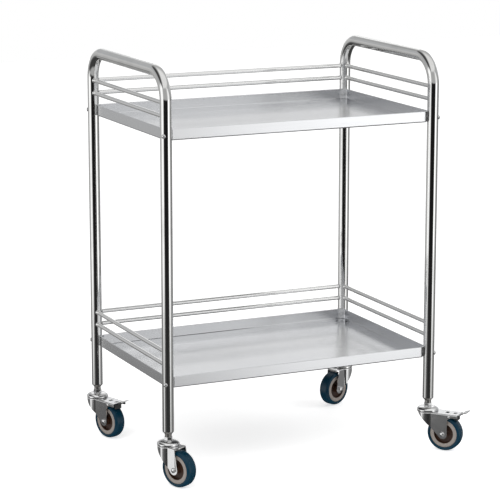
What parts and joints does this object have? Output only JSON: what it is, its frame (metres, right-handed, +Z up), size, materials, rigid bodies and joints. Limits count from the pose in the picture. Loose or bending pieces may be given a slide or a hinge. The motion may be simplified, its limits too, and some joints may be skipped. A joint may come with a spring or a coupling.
{
  "type": "instrument trolley",
  "caption": "Two-shelf stainless instrument trolley with bent-tube push handles, guard rails above each tray and swivel castors with foot brakes.",
  "frame": {"origin": "middle of the bounding box's base, on the floor, castors as they stand in the picture", "axes": "+Z up; X along the long side, with the open front towards -Y and the guard rails along the back at +Y"},
  "size_m": [0.7306, 0.5272, 0.8975],
  "materials": {
    "polished_tube": "mirror-polished stainless tube",
    "tray_sheet": "satin stainless sheet",
    "rail_rod": "polished stainless rod",
    "plug_metal": "turned steel, dull",
    "castor_metal": "bright zinc-plated pressed steel",
    "bolt_metal": "bright plated steel",
    "rim_plastic": "moulded grey-brown plastic",
    "blue_rubber": "smooth deep blue rubber"
  },
  "bodies": {
    "frame": {"left_end_frame": "polished_tube", "right_end_frame": "polished_tube", "side_rail_left_lower_low": "rail_rod", "side_rail_right_lower_low": "rail_rod", "rear_rail_lower_low": "rail_rod", "side_rail_left_lower_high": "rail_rod", "side_rail_right_lower_high": "rail_rod", "rear_rail_lower_high": "rail_rod", "side_rail_left_upper_low": "rail_rod", "side_rail_right_upper_low": "rail_rod", "rear_rail_upper_low": "rail_rod", "side_rail_left_upper_high": "rail_rod", "side_rail_right_upper_high": "rail_rod", "rear_rail_upper_high": "rail_rod", "lower_tray": "tray_sheet", "tray_bolt_lower_front_left": "bolt_metal", "tray_bolt_lower_front_right": "bolt_metal", "tray_bolt_lower_rear_right": "bolt_metal", "tray_bolt_lower_rear_left": "bolt_metal", "upper_tray": "tray_sheet", "tray_bolt_upper_front_left": "bolt_metal", "tray_bolt_upper_front_right": "bolt_metal", "tray_bolt_upper_rear_right": "bolt_metal", "tray_bolt_upper_rear_left": "bolt_metal", "leg_plug_front_left": "plug_metal", "castor_stem_front_left": "castor_metal", "swivel_cap_front_left": "castor_metal", "leg_plug_front_right": "plug_metal", "castor_stem_front_right": "castor_metal", "swivel_cap_front_right": "castor_metal", "leg_plug_rear_right": "plug_metal", "castor_stem_rear_right": "castor_metal", "swivel_cap_rear_right": "castor_metal", "leg_plug_rear_left": "plug_metal", "castor_stem_rear_left": "castor_metal", "swivel_cap_rear_left": "castor_metal"},
    "castor_front_left": {"castor_fork_front_left": "castor_metal", "axle_bolt_front_left": "bolt_metal", "axle_nut_front_left": "bolt_metal"},
    "wheel_front_left": {"wheel_core_front_left": "rim_plastic", "tyre_front_left": "blue_rubber"},
    "castor_front_right": {"castor_fork_front_right": "castor_metal", "axle_bolt_front_right": "bolt_metal", "axle_nut_front_right": "bolt_metal", "brake_pin_front_right": "castor_metal"},
    "wheel_front_right": {"wheel_core_front_right": "rim_plastic", "tyre_front_right": "blue_rubber"},
    "pedal_front_right": {"brake_pedal_front_right": "castor_metal"},
    "castor_rear_right": {"castor_fork_rear_right": "castor_metal", "axle_bolt_rear_right": "bolt_metal", "axle_nut_rear_right": "bolt_metal"},
    "wheel_rear_right": {"wheel_core_rear_right": "rim_plastic", "tyre_rear_right": "blue_rubber"},
    "castor_rear_left": {"castor_fork_rear_left": "castor_metal", "axle_bolt_rear_left": "bolt_metal", "axle_nut_rear_left": "bolt_metal", "brake_pin_rear_left": "castor_metal"},
    "wheel_rear_left": {"wheel_core_rear_left": "rim_plastic", "tyre_rear_left": "blue_rubber"},
    "pedal_rear_left": {"brake_pedal_rear_left": "castor_metal"}
  },
  "joints": [
    {"name": "swivel_front_left", "type": "hinge", "parent": "frame", "child": "castor_front_left", "pos_m": [-0.34083, -0.1809, 0.09], "axis": [0, 0, 1], "continuous": true},
    {"name": "roll_front_left", "type": "hinge", "parent": "castor_front_left", "child": "wheel_front_left", "pos_m": [-0.32773, -0.20899, 0.04], "axis": [0.9063, 0.4226, 0], "continuous": true},
    {"name": "swivel_front_right", "type": "hinge", "parent": "frame", "child": "castor_front_right", "pos_m": [0.29417, -0.1809, 0.09], "axis": [0, 0, 1], "continuous": true},
    {"name": "roll_front_right", "type": "hinge", "parent": "castor_front_right", "child": "wheel_front_right", "pos_m": [0.32152, -0.21408, 0.04], "axis": [0.7716, 0.6361, 0], "continuous": true},
    {"name": "brake_front_right", "type": "hinge", "parent": "castor_front_right", "child": "pedal_front_right", "pos_m": [0.33106, -0.22565, 0.0818], "axis": [0.7716, 0.6361, 0], "range_deg": [0, 10]},
    {"name": "swivel_rear_right", "type": "hinge", "parent": "frame", "child": "castor_rear_right", "pos_m": [0.29417, 0.2391, 0.09], "axis": [0, 0, 1], "continuous": true},
    {"name": "roll_rear_right", "type": "hinge", "parent": "castor_rear_right", "child": "wheel_rear_right", "pos_m": [0.2654, 0.22754, 0.04], "axis": [0.373, -0.9278, 0], "continuous": true},
    {"name": "swivel_rear_left", "type": "hinge", "parent": "frame", "child": "castor_rear_left", "pos_m": [-0.34083, 0.2391, 0.09], "axis": [0, 0, 1], "continuous": true},
    {"name": "roll_rear_left", "type": "hinge", "parent": "castor_rear_left", "child": "wheel_rear_left", "pos_m": [-0.32705, 0.19837, 0.04], "axis": [0.9472, 0.3206, 0], "continuous": true},
    {"name": "brake_rear_left", "type": "hinge", "parent": "castor_rear_left", "child": "pedal_rear_left", "pos_m": [-0.32224, 0.18416, 0.0818], "axis": [0.9472, 0.3206, 0], "range_deg": [0, 10]}
  ]
}
